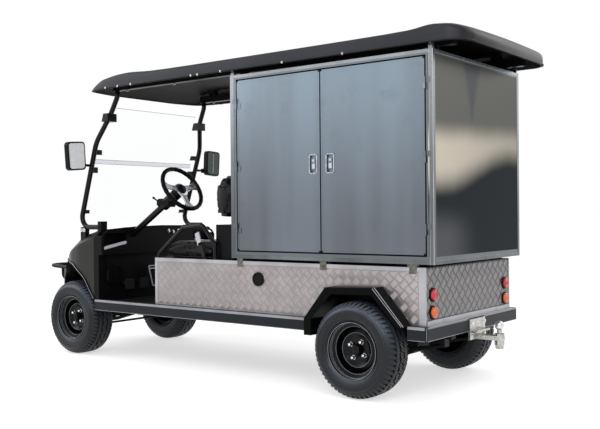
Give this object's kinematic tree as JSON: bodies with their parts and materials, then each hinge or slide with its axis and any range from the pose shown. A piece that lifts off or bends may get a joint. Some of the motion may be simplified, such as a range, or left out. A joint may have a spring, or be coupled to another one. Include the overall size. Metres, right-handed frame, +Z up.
{
  "type": "golf cart",
  "caption": "Electric utility cart with a bench seat, canopy roof, folding-style clear windshield and an enclosed sheet-metal cargo box with side doors behind the seat.",
  "frame": {"origin": "on the floor under the centre of the overall bounding box", "axes": "+X forward, +Y to the driver's left, +Z up"},
  "size_m": [3.625, 1.4982, 1.953],
  "materials": {
    "frame_paint": "satin",
    "axle_steel": "cast",
    "spring_steel": "satin",
    "battery_case": "matte",
    "rubber_tyre": "matte",
    "rim_steel": "gloss",
    "floor_rubber": "ribbed",
    "bar_plastic": "satin",
    "diamond_plate": "embossed",
    "plain_aluminium": "brushed",
    "stainless": "brushed",
    "cowl_paint": "metallic charcoal",
    "trim_black": "matte",
    "strut_paint": "gloss",
    "clear_sheet": "clear",
    "roof_plastic": "satin",
    "seat_vinyl": "grained",
    "mirror_case": "matte",
    "lamp_lens": "clear coat",
    "head_lens": "clear coat",
    "hitch_steel": "plated"
  },
  "bodies": {
    "chassis": {"chassis_frame": "frame_paint", "rear_axle": "axle_steel", "drive_motor": "axle_steel", "leaf_springs": "spring_steel", "front_axle": "axle_steel", "floor_plate": "floor_rubber", "side_sills": "bar_plastic", "rear_bumper": "bar_plastic", "rear_arches": "bar_plastic", "side_panels": "diamond_plate", "rear_panel": "diamond_plate", "seat_base": "trim_black", "deck_plate": "frame_paint", "battery_pack": "battery_case", "cargo_floor": "stainless", "cargo_roof": "stainless", "cargo_front": "stainless", "cargo_rear": "stainless", "cargo_frame": "stainless", "cargo_feet": "plain_aluminium", "front_cowl": "cowl_paint", "front_liners": "trim_black", "fender_lips": "trim_black", "dash": "trim_black", "front_bumper": "trim_black", "headlamps": "head_lens", "brush_guard": "strut_paint", "front_struts": "strut_paint", "windshield_lower": "clear_sheet", "windshield_upper": "clear_sheet", "roof_shell": "roof_plastic", "roof_frame": "strut_paint", "mirrors": "mirror_case", "seat_cushion": "seat_vinyl", "seat_back": "seat_vinyl", "seat_support": "trim_black", "armrests": "strut_paint", "steering_column": "strut_paint", "pedals": "frame_paint", "tail_lamps": "lamp_lens", "charge_port": "trim_black", "hitch": "hitch_steel"},
    "knuckle_left": {"knuckle_left": "axle_steel"},
    "knuckle_right": {"knuckle_right": "axle_steel"},
    "tie_rod": {"tie_rod": "axle_steel"},
    "steering_wheel": {"steering_wheel": "trim_black"},
    "wheel_front_left": {"tyre_front_left": "rubber_tyre", "rim_front_left": "rim_steel"},
    "wheel_front_right": {"tyre_front_right": "rubber_tyre", "rim_front_right": "rim_steel"},
    "wheel_rear_left": {"tyre_rear_left": "rubber_tyre", "rim_rear_left": "rim_steel"},
    "wheel_rear_right": {"tyre_rear_right": "rubber_tyre", "rim_rear_right": "rim_steel"},
    "door_left_front": {"door_left_front": "stainless"},
    "door_left_rear": {"door_left_rear": "stainless"},
    "door_right_front": {"door_right_front": "stainless"},
    "door_right_rear": {"door_right_rear": "stainless"}
  },
  "joints": [
    {"name": "steer_left", "type": "hinge", "parent": "chassis", "child": "knuckle_left", "pos_m": [1.298, 0.33, 0.26], "axis": [0, 0, 1], "range_deg": [-28, 28]},
    {"name": "steer_right", "type": "hinge", "parent": "chassis", "child": "knuckle_right", "pos_m": [1.298, -0.33, 0.26], "axis": [0, 0, 1], "range_deg": [-28, 28]},
    {"name": "tie_rod_swing", "type": "hinge", "parent": "knuckle_left", "child": "tie_rod", "pos_m": [1.203, 0.33, 0.2], "axis": [0, 0, 1], "range_deg": [-28, 28]},
    {"name": "steering_wheel_turn", "type": "hinge", "parent": "chassis", "child": "steering_wheel", "pos_m": [0.43, 0.27, 1.162], "axis": [-0.848, 0, 0.5299], "range_deg": [-336, 336]},
    {"name": "spin_front_left", "type": "hinge", "parent": "knuckle_left", "child": "wheel_front_left", "pos_m": [1.298, 0.436, 0.26], "axis": [0, 1, 0], "continuous": true},
    {"name": "spin_front_right", "type": "hinge", "parent": "knuckle_right", "child": "wheel_front_right", "pos_m": [1.298, -0.436, 0.26], "axis": [0, 1, 0], "continuous": true},
    {"name": "spin_rear_left", "type": "hinge", "parent": "chassis", "child": "wheel_rear_left", "pos_m": [-1.17, 0.526, 0.26], "axis": [0, 1, 0], "continuous": true},
    {"name": "spin_rear_right", "type": "hinge", "parent": "chassis", "child": "wheel_rear_right", "pos_m": [-1.17, -0.526, 0.26], "axis": [0, 1, 0], "continuous": true},
    {"name": "door_left_front_swing", "type": "hinge", "parent": "chassis", "child": "door_left_front", "pos_m": [-0.298, 0.538, 1.28], "axis": [0, 0, -1], "range_deg": [0, 110]},
    {"name": "door_left_rear_swing", "type": "hinge", "parent": "chassis", "child": "door_left_rear", "pos_m": [-1.577, 0.538, 1.28], "axis": [0, 0, 1], "range_deg": [0, 110]},
    {"name": "door_right_front_swing", "type": "hinge", "parent": "chassis", "child": "door_right_front", "pos_m": [-0.298, -0.538, 1.28], "axis": [0, 0, 1], "range_deg": [0, 110]},
    {"name": "door_right_rear_swing", "type": "hinge", "parent": "chassis", "child": "door_right_rear", "pos_m": [-1.577, -0.538, 1.28], "axis": [0, 0, -1], "range_deg": [0, 110]}
  ],
  "couplings": [
    {"joint": "steer_right", "follows": "steer_left", "ratio": 1},
    {"joint": "tie_rod_swing", "follows": "steer_left", "ratio": -1},
    {"joint": "steering_wheel_turn", "follows": "steer_left", "ratio": 12}
  ]
}
